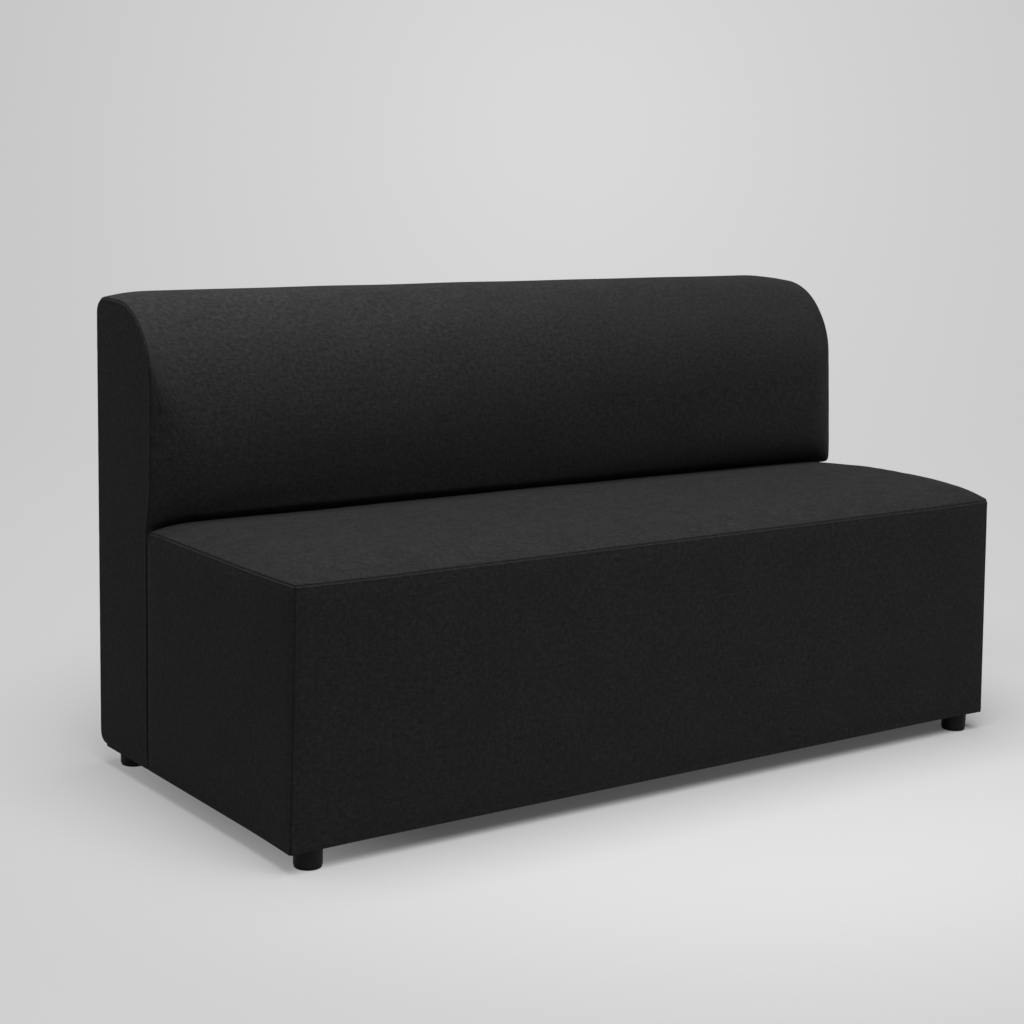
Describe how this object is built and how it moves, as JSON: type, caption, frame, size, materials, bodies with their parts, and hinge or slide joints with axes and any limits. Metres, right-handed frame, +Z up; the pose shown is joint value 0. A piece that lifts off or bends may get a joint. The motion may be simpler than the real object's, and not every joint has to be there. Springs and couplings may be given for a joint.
{
  "type": "armless three-seater sofa",
  "caption": "Armless upholstered bench sofa: a long seat block, a back block with a rounded front top edge, and short round levelling feet.",
  "frame": {"origin": "on the floor, in the middle of the sofa's footprint", "axes": "+X along the sofa, to the right of someone who looks at its front; the front faces -Y; +Z up"},
  "size_m": [1.504, 0.664, 0.817],
  "materials": {
    "upholstery": "matte",
    "cambric": "matte",
    "foam": "matte",
    "wadding": "matte",
    "felt": "matte",
    "spring_steel": "satin",
    "zinc_steel": "satin",
    "plywood": "matte",
    "timber": "matte",
    "foot_plastic": "satin",
    "glide_plastic": "satin"
  },
  "bodies": {
    "root": {"seat_cover": "upholstery", "seat_wadding": "wadding", "seat_foam": "foam", "seat_front_foam": "foam", "seat_left_foam": "foam", "seat_right_foam": "foam", "seat_insulator": "felt", "seat_springs": "spring_steel", "spring_clips": "spring_steel", "seat_front_board": "plywood", "seat_rear_board": "plywood", "seat_left_board": "plywood", "seat_right_board": "plywood", "seat_top_rail_front": "timber", "seat_top_rail_rear": "timber", "seat_base_rail_front": "timber", "seat_base_rail_rear": "timber", "seat_base_rail_left": "timber", "seat_base_rail_right": "timber", "seat_post_front_left": "timber", "seat_post_front_right": "timber", "seat_post_rear_left": "timber", "seat_post_rear_right": "timber", "seat_partition_left": "plywood", "seat_partition_right": "plywood", "seat_dust_cover": "cambric", "back_cover": "upholstery", "back_foam": "foam", "back_left_foam": "foam", "back_right_foam": "foam", "back_rear_foam": "foam", "back_end_left": "plywood", "back_end_right": "plywood", "back_rib_left": "plywood", "back_rib_right": "plywood", "back_top_rail": "timber", "back_middle_rail": "timber", "back_base_rail_front": "timber", "back_base_rail_rear": "timber", "back_front_board": "plywood", "back_rear_board": "plywood", "back_dust_cover": "cambric", "joining_bolts": "zinc_steel", "joining_washers": "zinc_steel", "joining_nuts": "zinc_steel", "cover_staples": "zinc_steel", "foot_tee_nuts": "zinc_steel"},
    "glide_fl": {"foot_glide_fl": "glide_plastic"},
    "foot_fl": {"foot_fl": "foot_plastic", "foot_stud_fl": "zinc_steel"},
    "glide_fr": {"foot_glide_fr": "glide_plastic"},
    "foot_fr": {"foot_fr": "foot_plastic", "foot_stud_fr": "zinc_steel"},
    "glide_rl": {"foot_glide_rl": "glide_plastic"},
    "foot_rl": {"foot_rl": "foot_plastic", "foot_stud_rl": "zinc_steel"},
    "glide_rr": {"foot_glide_rr": "glide_plastic"},
    "foot_rr": {"foot_rr": "foot_plastic", "foot_stud_rr": "zinc_steel"}
  },
  "joints": [
    {"name": "front_left_foot_travel", "type": "slide", "parent": "root", "child": "glide_fl", "axis": [0, 0, -1], "range_m": [0, 0.01]},
    {"name": "front_left_foot_turn", "type": "hinge", "parent": "glide_fl", "child": "foot_fl", "pos_m": [-0.707, -0.3065, 0], "axis": [0, 0, -1], "range_deg": [0, 2880]},
    {"name": "front_right_foot_travel", "type": "slide", "parent": "root", "child": "glide_fr", "axis": [0, 0, -1], "range_m": [0, 0.01]},
    {"name": "front_right_foot_turn", "type": "hinge", "parent": "glide_fr", "child": "foot_fr", "pos_m": [0.707, -0.3065, 0], "axis": [0, 0, -1], "range_deg": [0, 2880]},
    {"name": "rear_left_foot_travel", "type": "slide", "parent": "root", "child": "glide_rl", "axis": [0, 0, -1], "range_m": [0, 0.01]},
    {"name": "rear_left_foot_turn", "type": "hinge", "parent": "glide_rl", "child": "foot_rl", "pos_m": [-0.707, 0.287, 0], "axis": [0, 0, -1], "range_deg": [0, 2880]},
    {"name": "rear_right_foot_travel", "type": "slide", "parent": "root", "child": "glide_rr", "axis": [0, 0, -1], "range_m": [0, 0.01]},
    {"name": "rear_right_foot_turn", "type": "hinge", "parent": "glide_rr", "child": "foot_rr", "pos_m": [0.707, 0.287, 0], "axis": [0, 0, -1], "range_deg": [0, 2880]}
  ],
  "couplings": [
    {"joint": "front_left_foot_turn", "follows": "front_left_foot_travel", "rad_per_m": 5026.5},
    {"joint": "front_right_foot_turn", "follows": "front_right_foot_travel", "rad_per_m": 5026.5},
    {"joint": "rear_left_foot_turn", "follows": "rear_left_foot_travel", "rad_per_m": 5026.5},
    {"joint": "rear_right_foot_turn", "follows": "rear_right_foot_travel", "rad_per_m": 5026.5}
  ]
}
